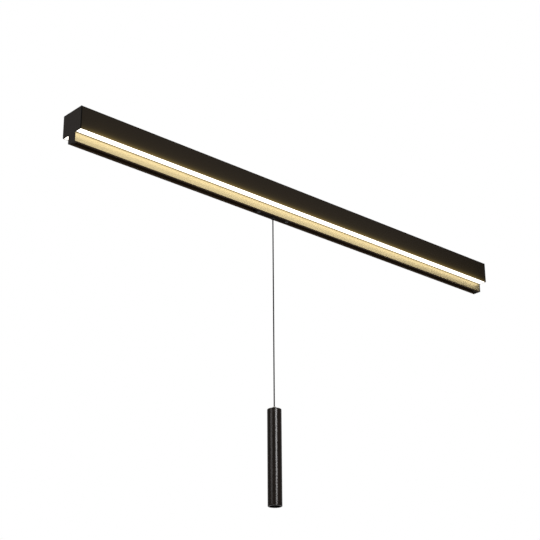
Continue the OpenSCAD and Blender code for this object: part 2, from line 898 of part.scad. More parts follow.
// Shell of the adapter: open above, cut through at each cam
module adapter_body() {
    h = adapter_len / 2;
    y = adapter_y - adapter_wall;
    color([0.09, 0.09, 0.09]) difference() {
        block([adapter_x - h, -adapter_y, z_adapter], [adapter_x + h, adapter_y, z_cover]);
        block([adapter_x - cavity_x + ledge, -y, z_adapter_floor],
            [adapter_x + cavity_x - ledge, y, z_cover + 1]);
        block([adapter_x - cavity_x, -y, z_adapter_board], [adapter_x + cavity_x, y, z_cover + 1]);
        rod(adapter_x, 0, z_adapter - 1, z_cover + 1, gland_r + play);
        rod(adapter_x, 0, z_adapter_floor, z_retainer + retainer_t, pocket_r);
        for (s = [-1, 1]) {
            block([adapter_x + s * cam_offset - cam_r - cam_gap, -adapter_y - 1, z_cam - cam_gap],
                [adapter_x + s * cam_offset + cam_r + cam_gap, adapter_y + 1, z_cam_top + cam_gap]);
            rod(adapter_x + s * cam_offset, 0, z_adapter - 1, z_spindle_top + cam_gap,
                spindle_d / 2 + play);
            rod(adapter_x + s * cam_offset, 0, z_adapter - 1, z_adapter + spindle_head_h + play,
                spindle_head_d / 2 + fit);
            rod(adapter_x + s * cover_screw_x, 0, z_cover_top - cover_screw_len, z_cover + 1,
                cover_screw_r);
        }
    }
}

module adapter_cover() {
    h = adapter_len / 2;
    color([0.11, 0.11, 0.11]) difference() {
        block([adapter_x - h, -adapter_y, z_cover], [adapter_x + h, adapter_y, z_cover_top]);
        for (s = [-1, 1]) {
            rod(adapter_x + s * contact_offset, s * conductor_y, z_cover - 1, z_cover_top + 1,
                contact_r + play);
            rod(adapter_x + s * cover_screw_x, 0, z_cover - 1, z_cover_top + 1,
                cover_screw_r + fit);
            rod(adapter_x + s * cover_screw_x, 0, z_cover_top - cover_screw_head_h, z_cover_top + 1,
                cover_screw_head_r + fit);
        }
    }
}

module cover_screws() {
    color([0.3, 0.3, 0.31]) for (s = [-1, 1]) {
        x = adapter_x + s * cover_screw_x;
        rod(x, 0, z_cover_top - cover_screw_len, z_cover_top - cover_screw_head_h, cover_screw_r);
        rod(x, 0, z_cover_top - cover_screw_head_h, z_cover_top, cover_screw_head_r);
    }
}

// Circuit board on the adapter's ledges, which carries the contact barrels
module adapter_board() {
    x = cavity_x - fit;
    y = adapter_y - adapter_wall - fit;
    color([0.1, 0.35, 0.2]) difference() {
        block([adapter_x - x, -y, z_adapter_board],
            [adapter_x + x, y, z_adapter_board + adapter_board_t]);
        rod(adapter_x, 0, z_adapter_board - 1, z_barrel + 1, seat_r);
    }
}

module board_socket() {
    x = adapter_x + socket_x;
    color([0.92, 0.9, 0.84]) difference() {
        block([x - socket_len / 2, -socket_w / 2, z_barrel],
            [x + socket_len / 2, socket_w / 2, z_barrel + socket_h]);
        for (y = [-socket_pitch / 2, socket_pitch / 2])
            rod(x, y, z_barrel + socket_floor, z_barrel + socket_h + 1, socket_hole_r);
    }
}

// Barrels that guide the contact pins: the left pin is at the front, the right one at the rear
module contact_barrels() {
    color([0.85, 0.75, 0.45]) for (s = [-1, 1])
        turned(adapter_x + s * contact_offset, s * conductor_y, [
            [0, z_barrel], [barrel_out_r, z_barrel], [barrel_out_r, z_cover - barrel_gap],
            [barrel_in_r, z_cover - barrel_gap], [barrel_in_r, z_spring], [0, z_spring]
        ]);
}

module contact_pin(s) {
    x = adapter_x + s * contact_offset;
    y = s * conductor_y;
    color([0.88, 0.78, 0.45]) {
        rod(x, y, z_collar, z_collar + collar_h, collar_r);
        rod(x, y, z_collar + collar_h, z_contact - contact_r, contact_r);
        translate([x, y, z_contact - contact_r]) sphere(r = contact_r);
    }
}

module contact_pin_front() {
    contact_pin(-1);
}

module contact_pin_rear() {
    contact_pin(1);
}

module contact_spring(s) {
    r = barrel_in_r - spring_wire_d / 2 - play;
    low = z_spring + spring_wire_d / 2 + press_gap;
    rise = z_collar - spring_wire_d / 2 - press_gap - low;
    steps = spring_turns * spring_rings;
    color([0.75, 0.76, 0.78]) translate([adapter_x + s * contact_offset, s * conductor_y, 0])
        swept([for (i = [0:steps]) let (a = 360 * i / spring_rings)
            [r * cos(a), r * sin(a), low + rise * i / steps]], spring_wire_d / 2, [0, 0, 1], spring_sides);
}

module contact_spring_front() {
    contact_spring(-1);
}

module contact_spring_rear() {
    contact_spring(1);
}

// Cam that swings over the slot's lips; it is drawn locked, across the slot
module lock_cam(s) {
    color([0.6, 0.6, 0.62]) translate([adapter_x + s * cam_offset, 0, z_cam])
        linear_extrude(cam_t) difference() {
            intersection() {
                circle(r = cam_r);
                square([cam_w, 2 * cam_r], center = true);
            }
            circle(r = spindle_d / 2 + press_gap);
        }
}

module lock_cam_left() {
    lock_cam(-1);
}

module lock_cam_right() {
    lock_cam(1);
}

// Spindle through the cam, with a slotted head in the adapter's underside
module cam_spindle(s) {
    x = adapter_x + s * cam_offset;
    color([0.15, 0.15, 0.15]) difference() {
        union() {
            rod(x, 0, z_adapter, z_adapter + spindle_head_h, spindle_head_d / 2);
            rod(x, 0, z_adapter + spindle_head_h, z_spindle_top, spindle_d / 2);
        }
        block([x - spindle_head_d / 2 + spindle_slot_inset, -slot_cut_w / 2, z_adapter - 1],
            [x + spindle_head_d / 2 - spindle_slot_inset, slot_cut_w / 2, z_adapter + slot_cut_h]);
    }
}

module cam_spindle_left() {
    cam_spindle(-1);
}

module cam_spindle_right() {
    cam_spindle(1);
}

// Ring pressed into the adapter over the gland's flange
module gland_retainer() {
    color([0.7, 0.7, 0.72]) difference() {
        rod(adapter_x, 0, z_retainer, z_retainer + retainer_t, pocket_r - press_gap);
        rod(adapter_x, 0, z_retainer - 1, z_retainer + retainer_t + 1, seat_r + retainer_bore_gap);
    }
}

// Gland that turns in the adapter's floor: bored from above down to the ball's seat
module swivel_gland() {
    color([0.08, 0.08, 0.08]) translate([adapter_x, 0, 0]) difference() {
        union() {
            rotate_extrude() polygon([
                [0, z_gland_end], [gland_tip_r, z_gland_end], [gland_r, z_gland_end + gland_tip_h],
                [gland_r, z_gland_flange], [0, z_gland_flange]
            ]);
            rod(0, 0, z_gland_flange, z_gland_flange + gland_flange_t, gland_flange_r);
        }
        rod(0, 0, z_ball, z_gland_flange + gland_flange_t + 1, seat_r);
        translate([0, 0, z_ball]) sphere(r = seat_r);
        translate([0, 0, z_gland_end - gland_mouth_cut])
            cylinder(h = ball_rise, r1 = gland_mouth_r, r2 = neck_r);
    }
}

module ball_ferrule() {
    color([0.15, 0.15, 0.15]) translate([adapter_x, 0, 0]) {
        translate([0, 0, z_ball]) sphere(r = ball_r);
        rod(0, 0, z_ferrule, z_ball, ferrule_neck_r);
    }
}

// The cable's route with extra rings between its points
function route_rings(p, n) = concat(
    [for (i = [0:len(p) - 2], k = [0:n - 1]) p[i] + (p[i + 1] - p[i]) * k / n], [p[len(p) - 1]]);

module pendant_cable() {
    color([0.4, 0.4, 0.4]) translate([adapter_x, 0, 0])
        swept(route_rings(cable_route, rings_per_step), cable_d / 2, [0, 1, 0]);
}

module cable_nipple() {
    r = nipple_d / 2;
    color([0.8, 0.8, 0.8]) turned(adapter_x, 0, [
        [0, z_top_cap - stem_len], [stem_d / 2, z_top_cap - stem_len], [stem_d / 2, z_top_cap],
        [r, z_top_cap], [r, z_nipple - nipple_taper_h],
        [cable_d / 2 + nipple_rim, z_nipple], [0, z_nipple]
    ]);
}

module nipple_nut() {
    z = z_top_cap - top_cap_t - nut_h;
    color([0.78, 0.74, 0.6]) translate([adapter_x, 0, z]) difference() {
        cylinder(h = nut_h, r = nut_af / sqrt(3), $fn = 6);
        translate([0, 0, -1]) cylinder(h = nut_h + 2, r = stem_d / 2 + press_gap);
    }
}

module tube_top_cap() {
    color([0.1, 0.1, 0.1]) difference() {
        rod(adapter_x, 0, z_top_cap - top_cap_t, z_top_cap, load_r);
        rod(adapter_x, 0, z_top_cap - top_cap_t - 1, z_top_cap + 1, stem_d / 2 + fit);
    }
}

module tube_body() {
    color([0.07, 0.07, 0.07]) difference() {
        rod(adapter_x, 0, z_mouth, z_tube, tube_r);
        rod(adapter_x, 0, z_mouth - 1, z_tube + 1, bore_r);
    }
}

// Board that stands on the heat sink and turns the track's voltage into the LED's current
module converter_board() {
    y = sqrt(load_r * load_r - converter_t * converter_t);
    color([0.1, 0.35, 0.2]) block([adapter_x - converter_t / 2, -y, z_sink_top],
        [adapter_x + converter_t / 2, y, z_sink_top + converter_len]);
}

// A block on the converter board, z above the heat sink and centred on y
module converter_block(z, y, t, w, l) {
    translate([adapter_x + converter_t / 2, y - w / 2, z_sink_top + z]) cube([t, w, l]);
}

module converter_parts() {
    color([0.2, 0.2, 0.22]) {
        converter_block(coil_z, 0, coil_t, coil_w, coil_len);
        converter_block(chip_z, 0, chip_t, chip_w, chip_len);
        for (y = [-tank_y, tank_y])
            converter_block(tank_z, y, tank_t, tank_w, tank_len);
    }
}

module heat_sink() {
    color([0.7, 0.7, 0.72]) translate([adapter_x, 0, z_sink]) {
        cylinder(h = sink_foot_t, r = load_r);
        translate([0, 0, sink_foot_t]) linear_extrude(sink_len - sink_foot_t) union() {
            circle(d = sink_core_d);
            for (i = [0:sink_fins - 1]) rotate(360 * i / sink_fins)
                translate([0, -sink_fin_t / 2]) square([load_r - sink_gap, sink_fin_t]);
        }
    }
}

module led_module() {
    color([0.9, 0.9, 0.88]) rod(adapter_x, 0, z_module, z_sink, load_r - module_gap);
}

module led_emitter() {
    color([0.98, 0.85, 0.4]) rod(adapter_x, 0, z_module - emitter_t, z_module, emitter_d / 2);
}

// Ring between the LED board and the lens
module lens_spacer() {
    color([0.9, 0.9, 0.9]) difference() {
        rod(adapter_x, 0, z_spacer, z_module, load_r);
        rod(adapter_x, 0, z_spacer - 1, z_module + 1, spacer_in_r);
    }
}

module lens() {
    color([0.85, 0.9, 0.92, 0.5]) rod(adapter_x, 0, z_lens, z_spacer, lens_r);
}

// Black cone and ring in the tube's mouth, whose flange holds the lens against the spacer
module front_baffle() {
    top_r = baffle_top_d / 2;
    color([0.05, 0.05, 0.05]) turned(adapter_x, 0, [
        [ring_r, z_mouth], [load_r, z_mouth], [load_r, z_ring_top], [ring_r + baffle_wall, z_ring_top],
        [top_r + baffle_wall, z_lens - baffle_flange_t], [load_r, z_lens - baffle_flange_t],
        [load_r, z_spacer],
        [lens_r + fit, z_spacer], [lens_r + fit, z_lens], [top_r, z_lens], [ring_r, z_ring_top]
    ]);
}

housing_profile();
end_cap_left();
end_cap_right();
diffuser_front();
diffuser_rear();
gold_trim_front();
gold_trim_rear();
led_board_front();
led_board_rear();
led_row_front();
led_row_rear();
track_insulator();
conductor_front();
conductor_rear();
track_feed_block();
feed_pins();
bracket_left();
bracket_right();
entry_grommet();
gear_tray();
tray_screws();
driver_case();
driver_lid();
driver_board();
driver_components();
terminal_block();
terminal_screws();
mains_leads();
track_leads();
strip_leads();
adapter_body();
adapter_cover();
cover_screws();
adapter_board();
board_socket();
contact_barrels();
contact_pin_front();
contact_pin_rear();
contact_spring_front();
contact_spring_rear();
lock_cam_left();
lock_cam_right();
cam_spindle_left();
cam_spindle_right();
gland_retainer();
swivel_gland();
ball_ferrule();
pendant_cable();
cable_nipple();
nipple_nut();
tube_top_cap();
tube_body();
converter_board();
converter_parts();
heat_sink();
led_module();
led_emitter();
lens_spacer();
lens();
front_baffle();
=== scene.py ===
# %% [markdown]
# A linear ceiling light with a pendant, dressed for its photograph.
#
# The light is a black T-shaped bar. An opal strip glows on each side of its centre rib, gold
# plates on the rib catch that glow, and a gloss black cylinder spotlight hangs from an adapter
# in the rib's track on a thin dark cable. The CAD model holds every piece at its real size, so
# this script never measures: it copies a CAD solid where its shape only needs softer edges,
# models again what is turned on a lathe, and gives every piece the finish of its material.

# %% Load the frame
import json
import math

import bpy
from mathutils import Matrix, Vector

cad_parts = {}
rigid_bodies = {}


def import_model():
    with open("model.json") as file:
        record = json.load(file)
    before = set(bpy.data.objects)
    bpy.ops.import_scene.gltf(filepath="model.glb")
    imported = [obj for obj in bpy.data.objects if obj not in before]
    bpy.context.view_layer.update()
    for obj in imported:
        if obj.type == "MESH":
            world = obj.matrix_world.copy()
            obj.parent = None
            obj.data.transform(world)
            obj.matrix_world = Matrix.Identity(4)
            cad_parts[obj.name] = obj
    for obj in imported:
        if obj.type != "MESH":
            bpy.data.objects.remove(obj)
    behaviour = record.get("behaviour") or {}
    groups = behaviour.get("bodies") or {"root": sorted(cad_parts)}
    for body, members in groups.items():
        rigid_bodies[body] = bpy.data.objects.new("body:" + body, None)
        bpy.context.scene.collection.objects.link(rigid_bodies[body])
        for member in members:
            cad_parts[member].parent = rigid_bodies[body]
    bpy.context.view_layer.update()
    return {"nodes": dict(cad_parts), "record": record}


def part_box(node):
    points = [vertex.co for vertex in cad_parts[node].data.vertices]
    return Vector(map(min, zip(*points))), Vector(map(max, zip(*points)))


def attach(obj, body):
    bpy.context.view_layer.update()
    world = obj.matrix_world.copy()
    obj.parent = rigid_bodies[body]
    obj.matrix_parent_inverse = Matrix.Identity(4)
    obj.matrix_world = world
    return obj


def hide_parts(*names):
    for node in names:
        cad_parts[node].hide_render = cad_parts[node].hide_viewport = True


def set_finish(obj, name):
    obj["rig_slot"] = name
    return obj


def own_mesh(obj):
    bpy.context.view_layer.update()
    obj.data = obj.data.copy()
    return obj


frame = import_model()
nodes = frame["nodes"]
record = frame["record"]
MM = 0.001
SLOT_OF = {part["node"]: part["material_slot"] for part in record["subparts"]}
BODY_OF = {
    node: body for body, members in record["behaviour"]["bodies"].items() for node in members
}

# %% [markdown]
# The camera comes first, because it decides what has to be fine and what may be plain. It was
# found from the bar's long edges, its two ends and the plumb cable: it stands low to the left
# and looks up through a long lens. A camera could also be aimed with a Track To constraint, but
# writing its three axes keeps the small roll that the photograph has.

# %% Camera
IMAGE_PX = 540
FOCAL_PX = 1383.0
SENSOR_MM = 36.0
CAMERA_PLACE = Vector((-1.9012, -2.0060, -1.3143))
YAW = math.radians(42.137)
PITCH = math.radians(22.490)
ROLL = math.radians(-0.379)

forward = Vector(
    (math.sin(YAW) * math.cos(PITCH), math.cos(YAW) * math.cos(PITCH), math.sin(PITCH))
)
level_right = Vector((math.cos(YAW), -math.sin(YAW), 0))
level_up = level_right.cross(forward)
right = math.cos(ROLL) * level_right + math.sin(ROLL) * level_up
up = -math.sin(ROLL) * level_right + math.cos(ROLL) * level_up

bpy.ops.object.camera_add()
camera = bpy.context.object
camera.name = "camera"
camera.data.sensor_width = SENSOR_MM
camera.data.lens = FOCAL_PX * SENSOR_MM / IMAGE_PX
camera.matrix_world = Matrix.Translation(CAMERA_PLACE) @ Matrix(
    (right, up, -forward)
).transposed().to_4x4()
bpy.context.scene.camera = camera
print("lens", round(camera.data.lens, 1), "mm")

# %% [markdown]
# The pendant cable is a fixed length of thin round cable. The weight of the spotlight holds it
# straight, so its route is a plumb line from the ferrule in the gland down to the nipple on the
# tube. A curve with a round bevel is the plainest way to model it: the points stay readable and
# the skin follows them. The thickness is each point's radius, because Blender counts a point's
# radius, and not the bevel's depth, into the curve's box.

# %% Pendant cable
CABLE_D = 2.8 * MM
CABLE_ROUTE = [
    (-0.077, 0, -0.075), (-0.077, 0, -0.097), (-0.077, 0, -0.119), (-0.077, 0, -0.141),
    (-0.077, 0, -0.163), (-0.077, 0, -0.185), (-0.077, 0, -0.207), (-0.077, 0, -0.229),
    (-0.077, 0, -0.251), (-0.077, 0, -0.273), (-0.077, 0, -0.295), (-0.077, 0, -0.317),
    (-0.077, 0, -0.339), (-0.077, 0, -0.361), (-0.077, 0, -0.383), (-0.077, 0, -0.405),
    (-0.077, 0, -0.427), (-0.077, 0, -0.449), (-0.077, 0, -0.471), (-0.077, 0, -0.493),
]

cable_curve = bpy.data.curves.new("pendant_cable_jacket", "CURVE")
cable_curve.dimensions = "3D"
cable_curve.bevel_depth = 1.0
cable_curve.bevel_resolution = 4
cable_curve.use_fill_caps = True
cable_line = cable_curve.splines.new("POLY")
cable_line.points.add(len(CABLE_ROUTE) - 1)
for point, place in zip(cable_line.points, CABLE_ROUTE):
    point.co = (*place, 1)
    point.radius = CABLE_D / 2
cable = bpy.data.objects.new("pendant_cable_jacket", cable_curve)
bpy.context.collection.objects.link(cable)
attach(cable, "pendant")
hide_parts("pendant_cable")
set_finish(cable, SLOT_OF["pendant_cable"])

# %% [markdown]
# A few helpers carry the modelling. start_editing opens one piece in edit mode. round_edges
# bevels its sharp edges, because no real edge is a perfect line and a rounded one catches light.
# copy_of copies a CAD solid and first merges its loose triangles into whole faces. turned makes
# a lathe piece from an outline by pulling a circle from ring to ring. take_place puts the
# finished piece in the place of its CAD node, after a Weighted Normal modifier: it lets the
# large faces decide the shading, so that a flat face beside a rounded edge looks flat right up
# to that edge.

# %% Modelling helpers
SMOOTH_ANGLE = math.radians(25)
SHARP_ANGLE = math.radians(40)
FLAT_ANGLE = math.radians(0.5)
MERGE = 0.002 * MM


def start_editing(piece):
    """Selects only this piece and opens it in edit mode with everything selected."""
    if bpy.context.object and bpy.context.object.mode != "OBJECT":
        bpy.ops.object.mode_set(mode="OBJECT")
    bpy.ops.object.select_all(action="DESELECT")
    bpy.context.view_layer.objects.active = piece
    piece.select_set(True)
    bpy.ops.object.mode_set(mode="EDIT")
    bpy.ops.mesh.select_mode(type="EDGE")
    bpy.ops.mesh.select_all(action="SELECT")


def round_edges(piece, width, segments=2, keep=None):
    """Bevels the sharp edges of a piece, or only those whose two ends pass keep."""
    start_editing(piece)
    bpy.ops.mesh.select_all(action="DESELECT")
    bpy.ops.mesh.edges_select_sharp(sharpness=SHARP_ANGLE)
    bpy.ops.object.mode_set(mode="OBJECT")
    mesh = piece.data
    chosen = [
        edge.select and (keep is None or all(keep(mesh.vertices[v].co) for v in edge.vertices))
        for edge in mesh.edges
    ]
    for element in (*mesh.vertices, *mesh.polygons, *mesh.edges):
        element.select = False
    for edge, choice in zip(mesh.edges, chosen):
        edge.select = choice
    bpy.ops.object.mode_set(mode="EDIT")
    bpy.ops.mesh.bevel(offset=width, segments=segments, clamp_overlap=True)
    bpy.ops.object.mode_set(mode="OBJECT")
    bpy.ops.object.shade_smooth_by_angle(angle=SMOOTH_ANGLE)
    return sum(chosen)


def copy_of(node, width, segments=2, keep=None):
    """A copy of a CAD solid with whole faces and rounded edges."""
    piece = bpy.data.objects.new(node + "_finished", nodes[node].data.copy())
    bpy.context.collection.objects.link(piece)
    start_editing(piece)
    bpy.ops.mesh.customdata_custom_splitnormals_clear()
    bpy.ops.mesh.remove_doubles(threshold=MERGE)
    bpy.ops.mesh.dissolve_limited(angle_limit=FLAT_ANGLE)
    bpy.ops.object.mode_set(mode="OBJECT")
    round_edges(piece, width, segments, keep)
    return piece


def turned(name, axis_x, outline, width=0.0, sides=96):
    """A lathe piece from an outline of (radius, height) in millimetres.

    A closed outline makes a ring; an open one has its two ends filled.
    """
    radius, height = outline[0]
    bpy.ops.object.select_all(action="DESELECT")
    bpy.ops.mesh.primitive_circle_add(
        vertices=sides, radius=radius * MM, location=(axis_x, 0, height * MM)
    )
    piece = bpy.context.object
    piece.name = name
    bpy.ops.object.transform_apply(location=True, rotation=True, scale=True)
    start_editing(piece)
    closed = outline[0] == outline[-1]
    if not closed:
        bpy.ops.mesh.edge_face_add()
        bpy.ops.mesh.region_to_loop()
    for (r0, z0), (r1, z1) in zip(outline, outline[1:]):
        bpy.ops.mesh.extrude_edges_move(TRANSFORM_OT_translate={"value": (0, 0, (z1 - z0) * MM)})
        bpy.ops.transform.resize(
            value=(r1 / r0, r1 / r0, 1), center_override=(axis_x, 0, z1 * MM)
        )
    if not closed:
        bpy.ops.mesh.edge_face_add()
    bpy.ops.mesh.select_all(action="SELECT")
    bpy.ops.mesh.remove_doubles(threshold=MERGE)
    bpy.ops.mesh.normals_make_consistent(inside=False)
    bpy.ops.object.mode_set(mode="OBJECT")
    if width:
        round_edges(piece, width)
    else:
        bpy.ops.object.shade_smooth_by_angle(angle=SMOOTH_ANGLE)
    return piece


def take_place(piece, node):
    """Puts a finished piece in the place of its CAD node, on the node's body and in its slot."""
    bpy.ops.object.select_all(action="DESELECT")
    bpy.context.view_layer.objects.active = piece
    piece.select_set(True)
    bpy.ops.object.modifier_add(type="WEIGHTED_NORMAL")
    shading = piece.modifiers[-1]
    shading.keep_sharp = True
    bpy.ops.object.modifier_apply(modifier=shading.name)
    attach(piece, BODY_OF[node])
    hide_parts(node)
    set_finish(piece, SLOT_OF[node])
    print(node, "->", piece.name, len(piece.data.polygons), "faces")

# %% [markdown]
# The bar is an aluminium extrusion with black powder coat. Powder flows before it cures, so the
# coat rounds every outer edge by a few tenths of a millimetre. The section could be drawn and
# extruded again, but in the CAD it is right as it is, so a copy only has the edges rounded that
# show: the long outer corners and the slot's. The top corners and the sawn ends have a larger
# radius, and together with the broken edge of the end cap they leave a fine groove at the seam.

# %% Bar and end caps
box_low, box_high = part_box("housing_profile")
BOX_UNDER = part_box("gold_trim_front")[1].z
BOX_HALF = box_high.y
RIB_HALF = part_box("gold_trim_rear")[1].y
SLOT_HALF = 6 * MM
NEAR = 0.05 * MM
CORNER = 0.8 * MM
SEAM = 0.4 * MM


def near(value, *places):
    return any(abs(value - place) < NEAR for place in places)


def on_bar_outline(co):
    """True on the outer corners of the T-shaped section and on the edges of its slot."""
    y = abs(co.y)
    corner = near(y, BOX_HALF) and near(co.z, BOX_UNDER)
    rib_corner = near(y, RIB_HALF, SLOT_HALF) and near(co.z, box_low.z)
    return corner or rib_corner


def on_side_top(co):
    return near(abs(co.y), BOX_HALF) and near(co.z, box_high.z)


def on_sawn_end(co):
    return near(abs(co.y), BOX_HALF) and near(abs(co.x), box_high.x)


bar = copy_of("housing_profile", 0.3 * MM, 3, on_bar_outline)
round_edges(bar, CORNER, 3, on_side_top)
round_edges(bar, SEAM, 2, on_sawn_end)
take_place(bar, "housing_profile")

caps = []
for side in ("left", "right"):
    node = "end_cap_" + side
    cap = copy_of(node, 0.5 * MM, 3, lambda co: abs(co.x) > box_high.x + SEAM)
    round_edges(cap, SEAM, 2, on_sawn_end)
    take_place(cap, node)
    caps.append(cap)

# %% [markdown]
# Beside the rib lie the opal strips, and on the rib's two sides the gold plates. Both are long
# plain sections, so a copy with finely broken edges is enough: what makes them is their finish.

# %% Strips and gold plates
for side in ("front", "rear"):
    take_place(copy_of("diffuser_" + side, 0.15 * MM), "diffuser_" + side)
    take_place(copy_of("gold_trim_" + side, 0.12 * MM), "gold_trim_" + side)

# %% [markdown]
# In the slot runs the adapter: a moulded shell with a screwed cover, two cams that lock it
# behind the slot's lips and a gland that turns. On the ceiling side are two sheet clips. They
# show only from straight below or from above. The CAD solids could stay as they are, but there
# too an edge should be soft, and a copy with rounded edges costs no more than a table row.

# %% Adapter, cams and brackets
for node, width in (
    ("adapter_body", 0.2), ("adapter_cover", 0.15),
    ("lock_cam_left", 0.2), ("lock_cam_right", 0.2),
    ("cam_spindle_left", 0.12), ("cam_spindle_right", 0.12),
    ("bracket_left", 0.2), ("bracket_right", 0.2),
):
    take_place(copy_of(node, width * MM), node)

# %% [markdown]
# Under each contact pin a coil spring of thin wire presses it against its conductor. A spring
# shortens when its pin goes in, which no rigid body does. Here it is wound again as a mesh. A
# curve along a helix would look the same; a Screw modifier winds a circle of wire into the same
# coil in one step.

# %% Contact springs
WIRE_R = 0.125 * MM
WIRE_SIDES = 8
WIRE_SMOOTH = math.radians(50)
COIL_TURNS = 4

for joint in record["behaviour"]["joints"]:
    if not joint["name"].startswith("contact_press_"):
        continue
    side = joint["name"].removeprefix("contact_press_")
    low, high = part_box("contact_spring_" + side)
    middle = (low + high) / 2
    bpy.ops.object.select_all(action="DESELECT")
    bpy.ops.mesh.primitive_circle_add(
        vertices=WIRE_SIDES, radius=WIRE_R, location=(middle.x, middle.y, low.z + WIRE_R),
        rotation=(math.radians(90), 0, 0),
    )
    coil = bpy.context.object
    coil.name = "contact_coil_" + side
    bpy.ops.object.transform_apply(location=False, rotation=True, scale=True)
    start_editing(coil)
    bpy.ops.transform.translate(value=(high.x - middle.x - WIRE_R, 0, 0))
    bpy.ops.object.mode_set(mode="OBJECT")
    bpy.ops.object.modifier_add(type="SCREW")
    winding = coil.modifiers[-1]
    winding.iterations = COIL_TURNS
    winding.screw_offset = (high.z - low.z - 2 * WIRE_R) / COIL_TURNS
    winding.steps = winding.render_steps = 16
    bpy.ops.object.modifier_apply(modifier=winding.name)
    bpy.ops.object.transform_apply(location=True, rotation=True, scale=True)
    start_editing(coil)
    bpy.ops.mesh.fill_holes(sides=0)
    bpy.ops.mesh.select_all(action="SELECT")
    bpy.ops.mesh.normals_make_consistent(inside=False)
    bpy.ops.object.mode_set(mode="OBJECT")
    bpy.ops.object.shade_smooth_by_angle(angle=WIRE_SMOOTH)
    take_place(coil, "contact_spring_" + side)
    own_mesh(coil)

# %% [markdown]
# The pendant is lathe work: tube, top cap, baffle, nipple and gland are all turned, so each is
# an outline pulled round the cable's line. A spin of a drawn outline would give the same shape;
# pulling a circle from ring to ring keeps every ring where its number says.

# %% Tube and top cap
axis_x = CABLE_ROUTE[0][0]
WALL = 1.5
TOP_RIM = 1.2
FOOT_RIM = 0.8


def heights_of(node):
    """Radius, lowest and highest place of an upright round CAD node, in millimetres."""
    low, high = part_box(node)
    return (high.y - low.y) / 2 / MM, low.z / MM, high.z / MM


tube_r, tube_low, tube_high = heights_of("tube_body")
bore_r = tube_r - WALL
tube = turned(
    "tube_shell", axis_x,
    [
        (tube_r, tube_low), (tube_r, tube_high), (bore_r, tube_high), (bore_r, tube_low),
        (tube_r, tube_low),
    ],
    sides=160,
)
for height, width in ((tube_high, TOP_RIM), (tube_low, FOOT_RIM)):
    round_edges(
        tube, width * MM, 5,
        lambda co: near(co.z, height * MM)
        and math.hypot(co.x - axis_x, co.y) > bore_r * MM + NEAR,
    )
round_edges(tube, 0.2 * MM)
take_place(tube, "tube_body")

STEM_BORE = 3.1
cap_r, cap_low, cap_high = heights_of("tube_top_cap")
top_cap = turned(
    "tube_lid", axis_x,
    [
        (cap_r, cap_low), (cap_r, cap_high), (STEM_BORE, cap_high), (STEM_BORE, cap_low),
        (cap_r, cap_low),
    ],
    width=0.25 * MM,
)
take_place(top_cap, "tube_top_cap")

# %% [markdown]
# The mouth has a gloss black baffle. Its cone is cut in fine steps, which throw stray light back
# and keep the mouth black from the side. Above it lies a clear lens with a shallow dome. The
# steps could be drawn as a bump in the finish, but then their edges would vanish close up and in
# the exported mesh, so they are part of the outline.

# %% Baffle and lens
RING_W = 1.5
RING_H = 4.0
CONE_TOP_R = 7.5
CONE_WALL = 0.8
SEAT_R = 9.6
FLANGE = 1.5
STEPS = 8
STEP_DEPTH = 0.3
STEP_RISE = 0.4

baffle_r, mouth, baffle_high = heights_of("front_baffle")
ring_r = baffle_r - RING_W
lens_r, lens_low, lens_high = heights_of("lens")
ring_top = mouth + RING_H
cone_out = [
    (ring_r, mouth), (baffle_r, mouth), (baffle_r, ring_top), (ring_r + CONE_WALL, ring_top),
]
cone_back = [
    (CONE_TOP_R + CONE_WALL, lens_low - FLANGE), (baffle_r, lens_low - FLANGE),
    (baffle_r, baffle_high), (SEAT_R, baffle_high), (SEAT_R, lens_low),
]
cone_steps = [(CONE_TOP_R, lens_low)]
for step in range(STEPS, 0, -1):
    height = ring_top + (lens_low - ring_top) * (step - 1) / STEPS
    radius = ring_r + (CONE_TOP_R - ring_r) * (step - 1) / STEPS
    cone_steps.append((radius - STEP_DEPTH, height + STEP_RISE))
    cone_steps.append((radius, height))
baffle = turned("mouth_baffle", axis_x, cone_out + cone_back + cone_steps + [cone_out[0]])
take_place(baffle, "front_baffle")

DOME = 0.8
dome = [
    (lens_r * math.sin(math.radians(a)), lens_low + DOME * (1 - math.cos(math.radians(a))))
    for a in (6, 20, 35, 50, 65, 80, 90)
]
lens = turned("spot_lens", axis_x, dome + [(lens_r, lens_high)], sides=64)
take_place(lens, "lens")

# %% [markdown]
# The small fittings on the cable are the gland, the ball ferrule that swings in it and the
# nipple on the tube. The nipple is nickel plated brass with a turned groove, and its cone
# closes on the cable. A groove could be cut out of a plain ring; on a lathe outline it is four
# more points, each given by its depth and its height.

# %% Gland, ferrule and nipple
gland_r, gland_low, gland_high = heights_of("swivel_gland")
ferrule_r, ferrule_low, ferrule_high = heights_of("ball_ferrule")
nipple_r, nipple_low, nipple_high = heights_of("cable_nipple")
ball_z = ferrule_high - ferrule_r
SEAT_GAP = 0.05
BODY_R = 4.0
TIP_R = 3.6
TIP_H = 1.2
FLANGE_H = 1.5
MOUTH_R = 3.14
NECK_R = 2.83
NECK_W = 1.5
STEM_R = 3.0
TAPER_H = 2.0
TAPER_R = 2.0
BALL_TOP_R = 0.1
GLAND_GROOVE = ((0, 2.2), (0.25, 2.4), (0.25, 2.8), (0, 3.0))
NIPPLE_GROOVE = ((0, 1.6), (0.35, 1.9), (0.35, 2.4), (0, 2.7))

